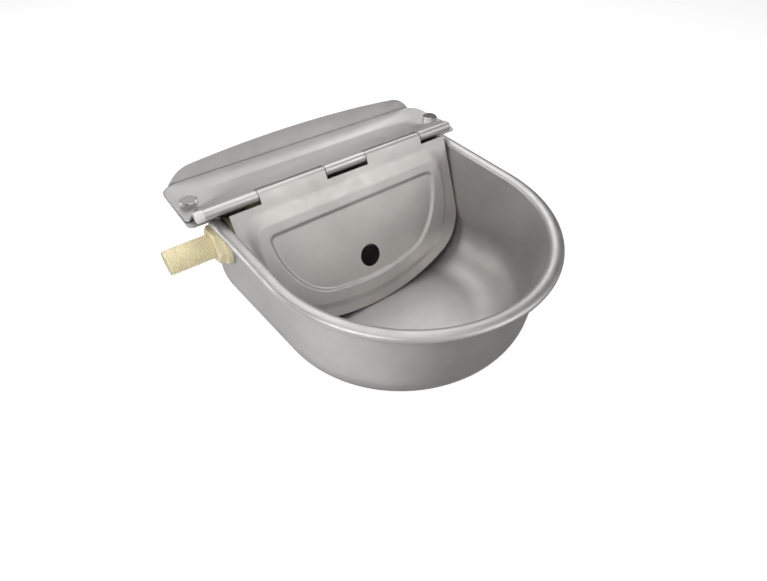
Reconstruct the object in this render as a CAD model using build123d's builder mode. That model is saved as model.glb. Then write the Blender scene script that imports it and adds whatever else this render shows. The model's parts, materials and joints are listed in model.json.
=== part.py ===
"""Wall-mounted stainless steel drinking bowl with a hinged valve cover and a plastic float valve.

Units are millimetres. The frame: +X to the right seen from the front, +Y back into the wall,
+Z up. The origin lies on the bowl's back face, midway between the two wall holes.
"""

import os
from math import asin, atan2, cos, degrees, hypot, radians, sin, sqrt, tan

from build123d import *

os.makedirs("parts", exist_ok=True)

# ---------------------------------------------------------------- driving dimensions
# basin: one deep-drawn sheet with a rolled rim, two ears and an upstand
basin_sheet = 1.2
rim_radius = 114.8            # centreline of the rim round the front
rim_arc_from_wall = 149.3     # centre of that arc, measured from the wall
rim_half_width_at_wall = 120.0
rim_centre_z = 20.2
rim_width = 10.4
rim_height = 6.4
rim_curl = 330.0              # degrees of the rolled edge
wall_draft = 0.7              # degrees
back_corner_radius = 43.0
floor_depth_at_wall = 117.0   # rim centreline down to the underside
floor_rise = 6.0              # degrees that the floor climbs towards the front
floor_radius = 41.0
ear_overhang = 17.1           # past the rim centreline at the wall
ear_from_wall = 65.5
ear_corner_radius = 5.0
ear_back_radius = 12.0
ear_lap = 0.8                 # how far the ear shows beside the hinge plate
upstand_inset = 1.1           # from the ear's end
upstand_height = 17.2         # above the hinge plate, at the middle
upstand_arc_radius = 1120.0
upstand_corner_radius = 32.0   # cut off by the ear before it stands upright
wall_hole_spacing = 110.0
wall_hole_radius = 4.25

# hinge plate
plate_sheet = 1.5
plate_back_radius = 16.0
plate_bend_from_wall = 24.5
plate_bend_radius = 8.0
band_from_bolt = 16.4         # bolt to the bend's end
plate_gap = 0.1               # plate to upstand
plate_ear_from_wall = 59.5
gusset_stop = 1.5             # short of the knuckle

# hinge
hinge_from_wall = 70.5
hinge_z = 33.2
pin_radius = 2.95
knuckle_clearance = 0.05
knuckle_wrap = 285.0          # degrees
knuckle_gap = 0.8             # between neighbouring knuckles
outer_knuckle_inner_x = 82.7
left_knuckle_inset = 10.6     # from the ear's end
right_knuckle_inset = 17.4
mid_knuckle_half = 20.2
notch_behind_axis = 4.8
pin_head_radius = 3.9
pin_head_length = 1.2
pin_tail = 4.5
cap_radius = 4.5
cap_length = 6.4

# cover
cover_sheet = 1.2
cover_tilt = 26.0             # degrees from the vertical, foot forward
cover_side_gap = 2.8          # to the rim, at the hinge
cover_length = 128.7
cover_notch = 6.6
cover_foot_radius = 215.0
cover_corner_radius = 45.0
frame_margin = 10.5           # cover's edge to the raised frame
frame_top = 17.5
frame_corner_radius = 12.0
frame_height = 1.8
frame_slope = 45.0            # degrees
panel_top = 31.0
panel_side_margin = 23.6      # cover's side to the panel
panel_foot_margin = 25.2
panel_foot_radius = 190.0
panel_corner_radius = 40.0
panel_top_radius = 6.0
finger_hole_radius = 10.3
finger_hole_from_foot = 45.2

# bolts of the hinge plate
bolt_from_ear_end = 10.7
bolt_from_wall = 39.7
bolt_radius = 4.0
bolt_hole_clearance = 0.3
bolt_length = 16.0
bolt_head_across_flats = 13.0
bolt_head_height = 5.3
hexagon_face = 0.94           # round end face of a hexagon, as a part of its width
hexagon_turn = 60.0           # degrees of the turned corners
washer_radius = 8.0
washer_thickness = 1.6
nut_height = 6.5

# float valve
valve_from_wall = 61.5
valve_z = -2.5
thread_radius = 10.4775       # over the crests
thread_root_radius = 9.3      # drawn where the thread is inside the nut and the wall
inlet_end_x = -161.5
inlet_bore_radius = 7.0
thread_chamfer = 1.2
thread_clearance = 0.07
thread_end_gap = 0.3          # crests end this far from the nut
valve_hole_clearance = 0.3
pad_radius = 20.0
pad_step = 0.9
pad_depth = 3.6
lock_nut_flange_radius = 18.4
lock_nut_flange = 3.2
lock_nut_across_flats = 28.5
lock_nut_length = 9.6
gasket_radius = 18.7
gasket_thickness = 4.5
gasket_chamfer = 0.8
body_flange_radius = 17.0
body_flange = 4.4
neck_radius = 13.5
neck_length = 21.0
body_end_radius = 19.0
body_end_length = 8.0
chamber_radius = 10.5
bulkhead = 3.0
nozzle_radius = 4.5
nozzle_bore_radius = 2.5
spout_radius = 8.2
spout_bore_radius = 5.8
spout_drop = 25.0
spout_from_ring = 8.6
ring_radius = 22.5
ring_lip_radius = 17.2
ring_lip = 1.5
ring_clearance = 0.05
yoke_disc = 2.5
yoke_length = 32.5
cheek_thickness = 4.0
cheek_up = 12.0
cheek_down = 14.0
cheek_corner = 4.0
guide_length = 13.0
plunger_radius = 6.0
plunger_tip_radius = 2.6
plunger_clearance = 0.05
seal_radius = 5.2
seal_thickness = 2.0
seal_gap = 0.3                # left between seal and nozzle when the valve is shut

# lever, knuckle and float
float_travel = 10.0           # degrees from hanging to level
pivot_below_axis = 8.0
pivot_from_yoke_end = 9.0
lever_pin_radius = 2.5
lever_thickness = 9.4
lever_side_gap = 0.3
lever_hub_radius = 4.6
lever_neck_width = 4.4
lever_nose_radius = 3.0
nose_gap = 0.2
lever_arm_width = 9.0
knuckle_along = 24.0          # pivot to knuckle, with the float level
knuckle_down = 17.0
disc_radius = 9.6
disc_thickness = 4.8
fork_thickness = 3.6
fork_gap = 0.3
knuckle_screw_radius = 2.5
knuckle_screw_head_radius = 7.6
knuckle_screw_head = 3.2
knuckle_nut_radius = 5.0
knuckle_nut_height = 3.5
arm_radius = 5.4
arm_collar_radius = 7.2
arm_collar_from_knuckle = 16.0
arm_collar_length = 4.0
float_from_knuckle = 28.0
float_length = 104.0
float_radius = 27.5
float_end_radius = 21.0
float_wall = 1.6
float_hollow_chamfer = 14.0
float_socket_depth = 9.0

# ---------------------------------------------------------------- derived places
rim_to_wall = rim_width / 2 - basin_sheet     # rim centreline to the outer face of the wall
ear_half_width = rim_half_width_at_wall + ear_overhang
upstand_half_width = ear_half_width - upstand_inset
ear_top_z = rim_centre_z + rim_height / 2
ear_bottom_z = ear_top_z - basin_sheet
plate_top_z = ear_top_z + plate_sheet
upstand_top_z = plate_top_z + upstand_height
plate_back_y = -basin_sheet - plate_gap
plate_ear_y = -plate_ear_from_wall
bend_y = -plate_bend_from_wall
ear_front_y = -ear_from_wall
hinge_y = -hinge_from_wall
valve_y = -valve_from_wall
centre_distance = hypot(rim_half_width_at_wall, rim_arc_from_wall)
side_angle = atan2(rim_half_width_at_wall, rim_arc_from_wall) - asin(rim_radius / centre_distance)
wall_at_valve = rim_half_width_at_wall - valve_from_wall * tan(side_angle) - rim_to_wall
pad_face_x = -wall_at_valve - pad_step
valve_hole_radius = thread_radius + valve_hole_clearance
bolt_x = ear_half_width - bolt_from_ear_end
plate_band_half_width = bolt_x - band_from_bolt
left_knuckle_end_x = left_knuckle_inset - ear_half_width
right_knuckle_end_x = ear_half_width - right_knuckle_inset
rim_inner_at_hinge = rim_half_width_at_wall - hinge_from_wall * tan(side_angle) - rim_width / 2
cover_half_width = rim_inner_at_hinge - cover_side_gap
panel_half_width = cover_half_width - panel_side_margin
panel_foot = cover_length - panel_foot_margin
finger_hole_from_hinge = cover_length - finger_hole_from_foot
knuckle_bore = pin_radius + knuckle_clearance
plate_knuckle_radius = knuckle_bore + plate_sheet


def side_lines(inset, back_y):
    """Points of the basin's plan at an inset from the rim's centreline.

    Returns where the side meets the back, where it meets the front arc, and the arc's tip.
    """
    radius = rim_radius - inset
    touch = Vector(radius * cos(side_angle), -rim_arc_from_wall - radius * sin(side_angle))
    back = Vector(touch.X + (back_y - touch.Y) * tan(side_angle), back_y)
    tip = Vector(0, -rim_arc_from_wall - radius)
    return back, touch, tip


def mirrored(point):
    """The same point on the other side of the middle plane."""
    return Vector(-point.X, point.Y)


def basin_plan(plane, inset, back_y, corner):
    """Face of the basin's D-shaped plan, with its back corners rounded."""
    back, touch, tip = side_lines(inset, back_y)
    with BuildSketch(plane) as plan:
        with BuildLine():
            Line(back, touch)
            ThreePointArc(touch, tip, mirrored(touch))
            Line(mirrored(touch), mirrored(back))
            Line(mirrored(back), back)
        make_face()
        fillet(plan.vertices().group_by(Axis.Y)[-1], corner)
    return plan.sketch


def floor_plane(lift):
    """The sloping underside, lifted for the inside of the basin."""
    middle = (0, 0, rim_centre_z - floor_depth_at_wall + lift)
    slope = radians(floor_rise)
    return Plane(origin=middle, x_dir=(1, 0, 0), z_dir=(0, sin(slope), cos(slope)))


def basin_block(sheet):
    """The basin's volume below the rim: its outside, or its inside when a sheet is given."""
    plan = basin_plan(Plane.XY.offset(rim_centre_z), rim_to_wall + sheet, -sheet, back_corner_radius - sheet)
    with BuildPart() as block:
        add(plan)
        extrude(amount=-2 * floor_depth_at_wall, taper=wall_draft)
        split(bisect_by=floor_plane(sheet), keep=Keep.TOP)
        fillet(block.faces().sort_by(Axis.Z)[0].edges(), floor_radius - sheet)
    return block.part


def hexagon_prism(plane, across_flats, height):
    """A hexagonal head standing on a plane, its far corners turned down to a round face."""
    corner = across_flats / sqrt(3)
    round_face = hexagon_face * across_flats / 2
    with BuildPart() as prism:
        with BuildSketch(plane):
            RegularPolygon(radius=corner, side_count=6)
        extrude(amount=height)
        with BuildSketch(plane):
            Circle(round_face + height * tan(radians(hexagon_turn)))
        extrude(amount=height, taper=hexagon_turn, mode=Mode.INTERSECT)
    return prism.part


def valve_plane(x):
    """Plane square to the valve's axis, facing out of the bowl's left side."""
    return Plane(origin=(x, valve_y, valve_z), x_dir=(0, -1, 0), z_dir=(-1, 0, 0))


def disc(near_x, far_x, radius):
    """A round step of the valve, between two places along its axis."""
    with BuildPart() as step:
        with BuildSketch(valve_plane(far_x)):
            Circle(radius)
        extrude(amount=far_x - near_x)
    return step.part


# ---------------------------------------------------------------- bowl: basin, rim, ears and upstand
outside = basin_block(0)
inside = basin_block(basin_sheet)
neck_plan = basin_plan(Plane.XY.offset(rim_centre_z), rim_to_wall, 0, back_corner_radius)
mouth_plan = basin_plan(
    Plane.XY.offset(rim_centre_z), rim_to_wall + basin_sheet, -basin_sheet, back_corner_radius - basin_sheet
)
rim_start, rim_touch, rim_tip = side_lines(0, ear_front_y)
curl_a = (rim_width - basin_sheet) / 2
curl_b = (rim_height - basin_sheet) / 2
arc_top = upstand_top_z - upstand_arc_radius
upstand_end_z = arc_top + sqrt(upstand_arc_radius**2 - upstand_half_width**2)
upstand_foot_z = upstand_end_z - 2 * upstand_corner_radius

with BuildPart() as bowl:
    add(outside)
    # the wall carries on up to the ears behind their front edge
    add(neck_plan)
    extrude(amount=ear_top_z - rim_centre_z)
    with Locations((0, ear_front_y - rim_arc_from_wall, ear_top_z)):
        Box(4 * rim_radius, 2 * rim_arc_from_wall, 2 * (ear_top_z - rim_centre_z), mode=Mode.SUBTRACT)
    # ears
    with BuildSketch(Plane.XY.offset(ear_bottom_z)) as ears:
        with Locations((0, ear_front_y / 2)):
            Rectangle(2 * (ear_half_width + ear_lap), ear_from_wall)
        fillet(ears.vertices().group_by(Axis.Y)[0], ear_corner_radius)
        fillet(ears.vertices().group_by(Axis.Y)[-1], ear_back_radius)
    extrude(amount=basin_sheet)
    # upstand, in line with the back wall
    with BuildSketch(Plane.XZ) as upstand:
        with BuildLine():
            Line((-upstand_half_width, upstand_foot_z), (upstand_half_width, upstand_foot_z))
            Line((upstand_half_width, upstand_foot_z), (upstand_half_width, upstand_end_z))
            ThreePointArc(
                (upstand_half_width, upstand_end_z),
                (0, upstand_top_z),
                (-upstand_half_width, upstand_end_z),
            )
            Line((-upstand_half_width, upstand_end_z), (-upstand_half_width, upstand_foot_z))
        make_face()
        fillet(upstand.vertices().group_by(Axis.Y)[-1], upstand_corner_radius)
        with Locations((0, ear_bottom_z)):
            Rectangle(
                4 * upstand_half_width,
                2 * upstand_height,
                align=(Align.CENTER, Align.MIN),
                mode=Mode.INTERSECT,
            )
    extrude(amount=basin_sheet)
    # hollow
    add(inside, mode=Mode.SUBTRACT)
    add(mouth_plan)
    extrude(amount=2 * rim_height, mode=Mode.SUBTRACT)
    # rolled rim, an open curl of the same sheet
    with BuildLine() as rim_path:
        Line(rim_start, rim_touch)
        ThreePointArc(rim_touch, rim_tip, mirrored(rim_touch))
        Line(mirrored(rim_touch), mirrored(rim_start))
    rim_line = Pos(0, 0, rim_centre_z) * rim_path.line
    with BuildSketch(Plane(origin=rim_line @ 0, z_dir=rim_line % 0, x_dir=(1, 0, 0))):
        with BuildLine():
            EllipticalCenterArc((0, 0), curl_a, curl_b, start_angle=180, arc_size=-rim_curl)
        trace(line_width=basin_sheet)
    sweep(path=rim_line)
    # flat pad pressed round the valve's hole, square to the valve
    with BuildSketch(valve_plane(pad_face_x + pad_depth)):
        Circle(pad_radius)
    extrude(amount=2 * pad_depth, mode=Mode.SUBTRACT)
    with BuildSketch(valve_plane(pad_face_x + pad_depth)):
        Circle(pad_radius)
        Circle(pad_radius - basin_sheet, mode=Mode.SUBTRACT)
    extrude(amount=pad_depth)
    with BuildSketch(valve_plane(pad_face_x + basin_sheet)):
        Circle(pad_radius)
        Circle(valve_hole_radius, mode=Mode.SUBTRACT)
    extrude(amount=basin_sheet)
    # holes for the plate's bolts and for the wall
    with Locations((bolt_x, -bolt_from_wall, ear_top_z), (-bolt_x, -bolt_from_wall, ear_top_z)):
        Hole(bolt_radius + bolt_hole_clearance, depth=2 * basin_sheet)
    with Locations(Plane(origin=(0, 0, 0), x_dir=(1, 0, 0), z_dir=(0, 1, 0))):
        with GridLocations(wall_hole_spacing, 1, 2, 1):
            Hole(wall_hole_radius, depth=2 * basin_sheet)
bowl.part.label = "bowl"
export_step(bowl.part, "parts/bowl.step")


# ---------------------------------------------------------------- hinge plate
mid_radius = knuckle_bore + plate_sheet / 2
mid_z = plate_top_z - plate_sheet / 2
reach = Vector(hinge_y - bend_y, hinge_z - mid_z)
band_angle = atan2(reach.Y, -reach.X) + asin(mid_radius / reach.length)
tangent_point = (hinge_y + mid_radius * sin(band_angle), hinge_z + mid_radius * cos(band_angle))
plate_sides = ((-1, left_knuckle_end_x), (1, right_knuckle_end_x))
cover_knuckle_zones = (
    (-outer_knuckle_inner_x, -mid_knuckle_half),
    (mid_knuckle_half, outer_knuckle_inner_x),
)

with BuildPart() as top_plate:
    # bent band and knuckles: one sheet's section, from the wall round the pin
    with BuildSketch(Plane.YZ.offset(left_knuckle_end_x)):
        with BuildLine():
            FilletPolyline(
                (plate_back_y, mid_z), (bend_y, mid_z), tangent_point, radius=plate_bend_radius
            )
            CenterArc((hinge_y, hinge_z), mid_radius, 90 - degrees(band_angle), knuckle_wrap)
        trace(line_width=plate_sheet)
    extrude(amount=right_knuckle_end_x - left_knuckle_end_x)
    # the band narrows from the hinge to the bend, where it runs out into the flat ears
    for side, knuckle_end in plate_sides:
        with BuildSketch(Plane.XY.offset(ear_top_z - plate_sheet)):
            Polygon(
                (side * plate_band_half_width, bend_y),
                (side * plate_band_half_width, plate_back_y + 1),
                (side * 2 * plate_band_half_width, plate_back_y + 1),
                (side * 2 * plate_band_half_width, hinge_y + plate_knuckle_radius),
                (knuckle_end, hinge_y + plate_knuckle_radius),
                align=None,
            )
        extrude(amount=4 * plate_knuckle_radius, mode=Mode.SUBTRACT)
    # flat rear strip and ears
    with BuildSketch(Plane.XY.offset(ear_top_z)) as ear_outline:
        with Locations((0, (plate_back_y + plate_ear_y) / 2)):
            Rectangle(2 * ear_half_width, plate_back_y - plate_ear_y)
        fillet(ear_outline.vertices().group_by(Axis.Y)[0], ear_corner_radius)
        fillet(ear_outline.vertices().group_by(Axis.Y)[-1], plate_back_radius)
        Polygon(
            (-plate_band_half_width, bend_y),
            (plate_band_half_width, bend_y),
            (right_knuckle_end_x, hinge_y),
            (left_knuckle_end_x, hinge_y),
            align=None,
            mode=Mode.SUBTRACT,
        )
    extrude(amount=plate_sheet)
    # gussets that join the ears to the raised band
    for side, knuckle_end in plate_sides:
        foot = Vector(side * plate_band_half_width, bend_y, mid_z)
        head = Vector(knuckle_end, hinge_y + plate_knuckle_radius, mid_z)
        head = head + (foot - head).normalized() * gusset_stop
        run = head - foot
        rise = (foot.Y - head.Y) * tan(band_angle)
        with BuildSketch(Plane(origin=foot, x_dir=run, z_dir=run.cross(Vector(0, 0, 1)))):
            Polygon((0, 0), (run.length, 0), (run.length, rise), align=None)
        extrude(amount=plate_sheet / 2, both=True)
    # gaps for the cover's knuckles
    for low_x, high_x in cover_knuckle_zones:
        with Locations((low_x, hinge_y + notch_behind_axis, hinge_z)):
            Box(
                high_x - low_x,
                4 * plate_knuckle_radius,
                4 * plate_knuckle_radius,
                align=(Align.MIN, Align.MAX, Align.CENTER),
                mode=Mode.SUBTRACT,
            )
    # holes for the bolts
    with Locations((bolt_x, -bolt_from_wall, plate_top_z), (-bolt_x, -bolt_from_wall, plate_top_z)):
        Hole(bolt_radius + bolt_hole_clearance, depth=2 * plate_sheet)
top_plate.part.label = "top_plate"
export_step(top_plate.part, "parts/top_plate.step")

# ---------------------------------------------------------------- cover
hinge_line = Vector(0, hinge_y, hinge_z)
tilt = radians(cover_tilt)
face_out = Vector(0, -cos(tilt), sin(tilt))
cover_back = Plane(origin=hinge_line + face_out * knuckle_bore, x_dir=(1, 0, 0), z_dir=face_out)
cover_face = cover_back.offset(cover_sheet)
cover_mid_radius = knuckle_bore + cover_sheet / 2
foot_arc_centre = cover_foot_radius - cover_length


def cover_outline(plane, margin, top, top_corner=0):
    """Face of the cover's outline, drawn in by a margin, with its top edge at a depth."""
    half = cover_half_width - margin
    radius = cover_foot_radius - margin
    corner_y = foot_arc_centre - sqrt(radius**2 - half**2)
    with BuildSketch(plane) as outline:
        with BuildLine():
            Line((half, corner_y), (half, -top))
            Line((half, -top), (-half, -top))
            Line((-half, -top), (-half, corner_y))
            ThreePointArc((-half, corner_y), (0, foot_arc_centre - radius), (half, corner_y))
        make_face()
        fillet(outline.vertices().group_by(Axis.Y)[0], cover_corner_radius - margin)
        if top_corner > 0:
            fillet(outline.vertices().group_by(Axis.Y)[-1], top_corner)
    return outline.sketch


def panel_outline(plane, grow):
    """Face of the sunken panel inside the raised frame, grown by an amount."""
    half = panel_half_width + grow
    radius = panel_foot_radius + grow
    centre_y = panel_foot_radius - panel_foot
    corner_y = centre_y - sqrt(radius**2 - half**2)
    with BuildSketch(plane) as outline:
        with BuildLine():
            Line((half, corner_y), (half, grow - panel_top))
            Line((half, grow - panel_top), (-half, grow - panel_top))
            Line((-half, grow - panel_top), (-half, corner_y))
            ThreePointArc((-half, corner_y), (0, centre_y - radius), (half, corner_y))
        make_face()
        fillet(outline.vertices().group_by(Axis.Y)[0], panel_corner_radius + grow)
        fillet(outline.vertices().group_by(Axis.Y)[-1], panel_top_radius + grow)
    return outline.sketch


slope_shift = cover_sheet * tan(radians(45 - frame_slope / 2))
up_the_cover = Vector(sin(tilt), cos(tilt))
curl_start = Vector(hinge_y, hinge_z) + Vector(-cos(tilt), sin(tilt)) * cover_mid_radius

with BuildPart() as cover:
    extrude(cover_outline(cover_back, 0, cover_notch), amount=cover_sheet)
    # raised frame pressed out of the sheet
    frame_outline = cover_outline(cover_face, frame_margin, frame_top, frame_corner_radius)
    extrude(frame_outline, amount=frame_height, taper=frame_slope)
    with BuildPart(mode=Mode.SUBTRACT):
        frame_back = cover_outline(
            cover_back,
            frame_margin + slope_shift,
            frame_top + slope_shift,
            frame_corner_radius - slope_shift,
        )
        extrude(frame_back, amount=frame_height, taper=frame_slope)
        panel_back = panel_outline(cover_back.offset(frame_height), slope_shift)
        extrude(panel_back, amount=-frame_height, taper=frame_slope, mode=Mode.SUBTRACT)
    # sunken panel inside the frame
    panel_front = panel_outline(cover_face.offset(frame_height), 0)
    extrude(panel_front, amount=-frame_height, taper=frame_slope, mode=Mode.SUBTRACT)
    # knuckles
    for low_x, high_x in cover_knuckle_zones:
        with BuildSketch(Plane.YZ.offset(low_x + knuckle_gap)):
            with BuildLine():
                Line(curl_start - up_the_cover * (cover_notch + cover_sheet), curl_start)
                CenterArc((hinge_y, hinge_z), cover_mid_radius, 180 - cover_tilt, -knuckle_wrap)
            trace(line_width=cover_sheet)
        extrude(amount=high_x - low_x - 2 * knuckle_gap)
    # finger hole
    with BuildSketch(cover_back.offset(-frame_height)):
        with Locations((0, -finger_hole_from_hinge)):
            Circle(finger_hole_radius)
    extrude(amount=4 * frame_height, mode=Mode.SUBTRACT)
cover.part.label = "cover"
export_step(cover.part, "parts/cover.step")

# ---------------------------------------------------------------- hinge pin and its cap
pin_left_x = left_knuckle_end_x - pin_tail
pin_axis_plane = Plane(origin=(pin_left_x, hinge_y, hinge_z), z_dir=(1, 0, 0))
with BuildPart() as hinge_pin:
    with BuildSketch(pin_axis_plane):
        Circle(pin_radius)
    extrude(amount=right_knuckle_end_x - pin_left_x)
    with BuildSketch(pin_axis_plane.offset(right_knuckle_end_x - pin_left_x)):
        Circle(pin_head_radius)
    extrude(amount=pin_head_length)
    fillet(hinge_pin.faces().sort_by(Axis.X)[-1].edges(), pin_head_length / 2)
hinge_pin.part.label = "hinge_pin"
export_step(hinge_pin.part, "parts/hinge_pin.step")

with BuildPart() as pin_cap:
    with BuildSketch(Plane(origin=(left_knuckle_end_x, hinge_y, hinge_z), z_dir=(-1, 0, 0))):
        Circle(cap_radius)
    extrude(amount=cap_length)
    fillet(pin_cap.faces().sort_by(Axis.X)[0].edges(), cap_radius / 3)
    with BuildSketch(Plane(origin=(left_knuckle_end_x, hinge_y, hinge_z), z_dir=(-1, 0, 0))):
        Circle(pin_radius)
    extrude(amount=pin_tail, mode=Mode.SUBTRACT)
pin_cap.part.label = "pin_cap"
export_step(pin_cap.part, "parts/pin_cap.step")

# ---------------------------------------------------------------- bolts, washers and nuts of the plate
for name, side in (("left", -1), ("right", 1)):
    x = side * bolt_x
    seat = Plane(origin=(x, -bolt_from_wall, plate_top_z))
    under = Plane(origin=(x, -bolt_from_wall, ear_bottom_z), z_dir=(0, 0, -1))
    with BuildPart() as bolt:
        add(hexagon_prism(seat, bolt_head_across_flats, bolt_head_height))
        with BuildSketch(seat):
            Circle(bolt_radius)
        extrude(amount=-bolt_length)
        chamfer(bolt.faces().sort_by(Axis.Z)[0].edges(), bolt_radius / 5)
    bolt.part.label = f"bolt_{name}"
    export_step(bolt.part, f"parts/bolt_{name}.step")
    with BuildPart() as washer:
        with BuildSketch(under):
            Circle(washer_radius)
            Circle(bolt_radius + bolt_hole_clearance, mode=Mode.SUBTRACT)
        extrude(amount=washer_thickness)
    washer.part.label = f"washer_{name}"
    export_step(washer.part, f"parts/washer_{name}.step")
    with BuildPart() as nut:
        add(hexagon_prism(under.offset(washer_thickness), bolt_head_across_flats, nut_height))
        with BuildSketch(under):
            Circle(bolt_radius)
        extrude(amount=washer_thickness + nut_height, mode=Mode.SUBTRACT)
    nut.part.label = f"nut_{name}"
    export_step(nut.part, f"parts/nut_{name}.step")

# ---------------------------------------------------------------- valve body with its shank and spout
gasket_x = pad_face_x + basin_sheet
flange_x = gasket_x + gasket_thickness
neck_x = flange_x + body_flange
ring_x = neck_x + neck_length
body_end_x = ring_x + body_end_length
yoke_x = body_end_x + yoke_disc
spout_x = ring_x - spout_from_ring
nozzle_end_x = ring_x + body_end_length / 4
chamber_x = neck_x + bulkhead
lock_nut_x = pad_face_x - lock_nut_length
spout_plane = Plane(origin=(spout_x, valve_y, valve_z), z_dir=(0, 0, -1))

with BuildPart() as valve_body:
    add(disc(inlet_end_x, lock_nut_x - thread_end_gap, thread_radius))
    chamfer(valve_body.faces().sort_by(Axis.X)[0].edges(), thread_chamfer)
    add(disc(lock_nut_x - thread_end_gap, flange_x, thread_root_radius))
    add(disc(flange_x, neck_x, body_flange_radius))
    add(disc(neck_x, ring_x, neck_radius))
    add(disc(ring_x, body_end_x, body_end_radius))
    with BuildSketch(spout_plane):
        Circle(spout_radius)
    extrude(amount=spout_drop)
    add(disc(chamber_x, body_end_x, chamber_radius), mode=Mode.SUBTRACT)
    with BuildSketch(spout_plane):
        Circle(spout_bore_radius)
    extrude(amount=spout_drop, mode=Mode.SUBTRACT)
    add(disc(chamber_x, nozzle_end_x, nozzle_radius))
    add(disc(inlet_end_x, chamber_x - bulkhead / 2, inlet_bore_radius), mode=Mode.SUBTRACT)
    add(disc(inlet_end_x, nozzle_end_x, nozzle_bore_radius), mode=Mode.SUBTRACT)
valve_body.part.label = "valve_body"
export_step(valve_body.part, "parts/valve_body.step")

# ---------------------------------------------------------------- gasket inside the wall, lock nut outside
with BuildPart() as gasket:
    add(disc(gasket_x, flange_x, gasket_radius))
    chamfer(gasket.edges().filter_by(GeomType.CIRCLE), gasket_chamfer)
    add(disc(gasket_x, flange_x, thread_root_radius + thread_clearance), mode=Mode.SUBTRACT)
gasket.part.label = "gasket"
export_step(gasket.part, "parts/gasket.step")

with BuildPart() as lock_nut:
    hexagon_seat = valve_plane(pad_face_x - lock_nut_flange)
    add(hexagon_prism(hexagon_seat, lock_nut_across_flats, lock_nut_length - lock_nut_flange))
    add(disc(pad_face_x - lock_nut_flange, pad_face_x, lock_nut_flange_radius))
    add(disc(lock_nut_x, pad_face_x, thread_root_radius + thread_clearance), mode=Mode.SUBTRACT)
lock_nut.part.label = "lock_nut"
export_step(lock_nut.part, "parts/lock_nut.step")

# ---------------------------------------------------------------- union ring that holds the yoke on the body
ring_end_x = yoke_x + ring_lip
with BuildPart() as union_ring:
    add(disc(ring_x, ring_end_x, ring_radius))
    chamfer(union_ring.edges().filter_by(GeomType.CIRCLE), ring_lip)
    add(disc(ring_x, yoke_x, body_end_radius + ring_clearance), mode=Mode.SUBTRACT)
    add(disc(yoke_x, ring_end_x, ring_lip_radius), mode=Mode.SUBTRACT)
union_ring.part.label = "union_ring"
export_step(union_ring.part, "parts/union_ring.step")

# ---------------------------------------------------------------- yoke: disc, plunger guide and two cheeks
yoke_end_x = body_end_x + yoke_length
pivot_x = yoke_end_x - pivot_from_yoke_end
pivot_z = valve_z - pivot_below_axis
travel = radians(float_travel)
plunger_end_x = pivot_x + pivot_below_axis * sin(travel) - lever_nose_radius - nose_gap
plunger_travel = pivot_below_axis * sin(travel)
seal_x = nozzle_end_x + seal_gap + plunger_travel
slot_half = lever_thickness / 2 + lever_side_gap
cheek_outer = slot_half + cheek_thickness

with BuildPart() as yoke:
    add(disc(body_end_x, yoke_x, body_end_radius))
    with BuildSketch(Plane.XZ.offset(-valve_y - cheek_outer)) as cheek:
        with Locations(((yoke_x + yoke_end_x) / 2, valve_z + (cheek_up - cheek_down) / 2)):
            Rectangle(yoke_end_x - yoke_x, cheek_up + cheek_down)
        fillet(cheek.vertices().group_by(Axis.X)[-1], cheek_corner)
    extrude(amount=2 * cheek_outer)
    # slot for the lever, in front of the plunger's guide
    with Locations((yoke_x + guide_length, valve_y, valve_z)):
        Box(
            2 * yoke_length,
            2 * slot_half,
            4 * cheek_down,
            align=(Align.MIN, Align.CENTER, Align.CENTER),
            mode=Mode.SUBTRACT,
        )
    add(disc(body_end_x, yoke_x + guide_length, plunger_radius + plunger_clearance), mode=Mode.SUBTRACT)
    with BuildSketch(Plane.XZ.offset(-valve_y - cheek_outer)):
        with Locations((pivot_x, pivot_z)):
            Circle(lever_pin_radius)
    extrude(amount=2 * cheek_outer, mode=Mode.SUBTRACT)
yoke.part.label = "yoke"
export_step(yoke.part, "parts/yoke.step")

# ---------------------------------------------------------------- plunger and its seal
with BuildPart() as plunger:
    add(disc(seal_x + seal_thickness, yoke_x + guide_length, plunger_radius))
    add(disc(yoke_x + guide_length, plunger_end_x, plunger_tip_radius))
    chamfer(plunger.faces().sort_by(Axis.X)[-1].edges(), plunger_tip_radius / 5)
plunger.part.label = "plunger"
export_step(plunger.part, "parts/plunger.step")

with BuildPart() as plunger_seal:
    add(disc(seal_x, seal_x + seal_thickness, seal_radius))
plunger_seal.part.label = "plunger_seal"
export_step(plunger_seal.part, "parts/plunger_seal.step")

# ---------------------------------------------------------------- lever pin
with BuildPart() as lever_pin:
    with BuildSketch(Plane(origin=(pivot_x, valve_y + cheek_outer + 1, pivot_z), z_dir=(0, -1, 0))):
        Circle(lever_pin_radius)
    extrude(amount=2 * cheek_outer + 2)
lever_pin.part.label = "lever_pin"
export_step(lever_pin.part, "parts/lever_pin.step")

# ---------------------------------------------------------------- lever, drawn with the float hanging
hang = -travel


def turned(along, up):
    """A place given from the pivot with the float level, after the float has dropped."""
    return Vector(
        pivot_x + along * cos(hang) - up * sin(hang),
        pivot_z + along * sin(hang) + up * cos(hang),
    )


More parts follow.
